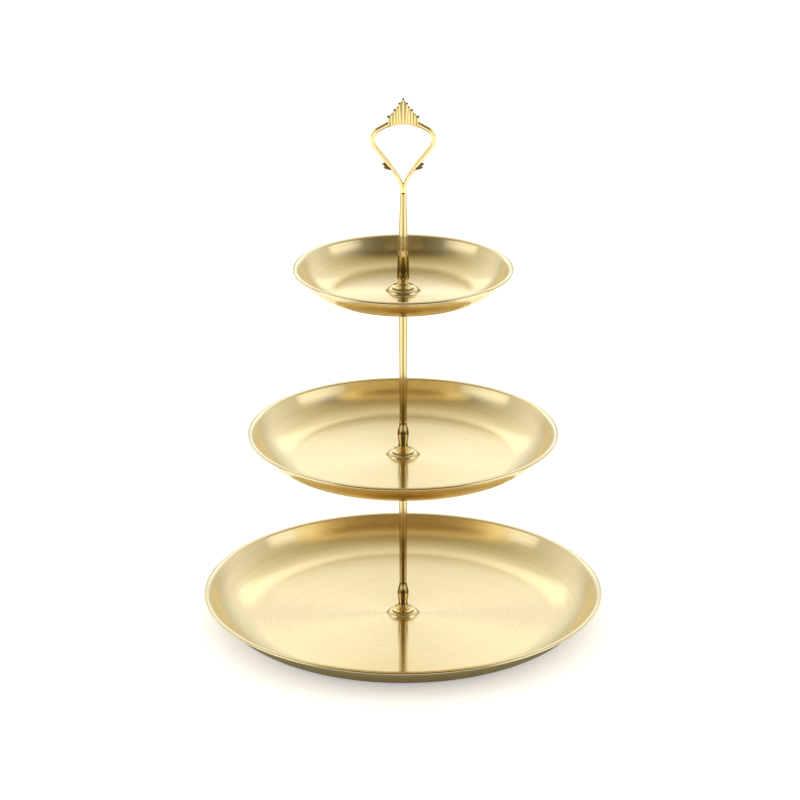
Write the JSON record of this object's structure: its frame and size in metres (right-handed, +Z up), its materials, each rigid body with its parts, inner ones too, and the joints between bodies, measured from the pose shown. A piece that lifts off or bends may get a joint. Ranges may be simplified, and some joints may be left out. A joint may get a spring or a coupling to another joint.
{
  "type": "tiered cake stand",
  "caption": "Tiered cake stand: round shallow dished plates on a slender reeded rod, clamped by threaded joints, under a crown-topped loop handle.",
  "frame": {"origin": "centre of the bottom plate's flat underside, on the table", "axes": "+Z up along the central rod, +X to the right of the handle loop, -Y to the front; the handle loop lies in the XZ plane"},
  "size_m": [0.26, 0.26, 0.35],
  "materials": {
    "satin_gold_plate": "satin gold, lightly circular-brushed inside, with a polished lip",
    "polished_gold": "mirror-polished gold plate on a casting",
    "plated_steel": "bright zinc plate",
    "clear_gasket": "clear soft plastic"
  },
  "bodies": {
    "base": {"bottom_plate": "satin_gold_plate", "base_screw": "plated_steel", "base_washer": "plated_steel", "bottom_lower_gasket": "clear_gasket", "bottom_upper_gasket": "clear_gasket"},
    "bottom_flange": {"bottom_flange": "polished_gold"},
    "lower_rod": {"lower_rod": "polished_gold", "lower_stud": "plated_steel", "middle_lower_gasket": "clear_gasket"},
    "middle_plate": {"middle_plate": "satin_gold_plate", "middle_upper_gasket": "clear_gasket"},
    "middle_flange": {"middle_flange": "polished_gold"},
    "upper_rod": {"upper_rod": "polished_gold", "upper_stud": "plated_steel", "top_lower_gasket": "clear_gasket"},
    "top_plate": {"top_plate": "satin_gold_plate", "top_upper_gasket": "clear_gasket"},
    "top_flange": {"top_flange": "polished_gold"},
    "crown_handle": {"crown_handle": "polished_gold"}
  },
  "joints": [
    {"name": "lower_rod_lift", "type": "slide", "parent": "base", "child": "bottom_flange", "axis": [0, 0, 1], "range_m": [0, 0.012]},
    {"name": "lower_rod_unscrew", "type": "hinge", "parent": "bottom_flange", "child": "lower_rod", "pos_m": [0, 0, 0.0058], "axis": [0, 0, 1], "range_deg": [0, 3960]},
    {"name": "middle_plate_turn", "type": "hinge", "parent": "lower_rod", "child": "middle_plate", "pos_m": [0, 0, 0.1141], "axis": [0, 0, 1], "continuous": true},
    {"name": "upper_rod_lift", "type": "slide", "parent": "lower_rod", "child": "middle_flange", "axis": [0, 0, 1], "range_m": [0, 0.012]},
    {"name": "upper_rod_unscrew", "type": "hinge", "parent": "middle_flange", "child": "upper_rod", "pos_m": [0, 0, 0.1173], "axis": [0, 0, 1], "range_deg": [0, 3960]},
    {"name": "top_plate_turn", "type": "hinge", "parent": "upper_rod", "child": "top_plate", "pos_m": [0, 0, 0.2256], "axis": [0, 0, 1], "continuous": true},
    {"name": "handle_lift", "type": "slide", "parent": "upper_rod", "child": "top_flange", "axis": [0, 0, 1], "range_m": [0, 0.012]},
    {"name": "handle_unscrew", "type": "hinge", "parent": "top_flange", "child": "crown_handle", "pos_m": [0, 0, 0.2288], "axis": [0, 0, 1], "range_deg": [0, 3960]}
  ]
}
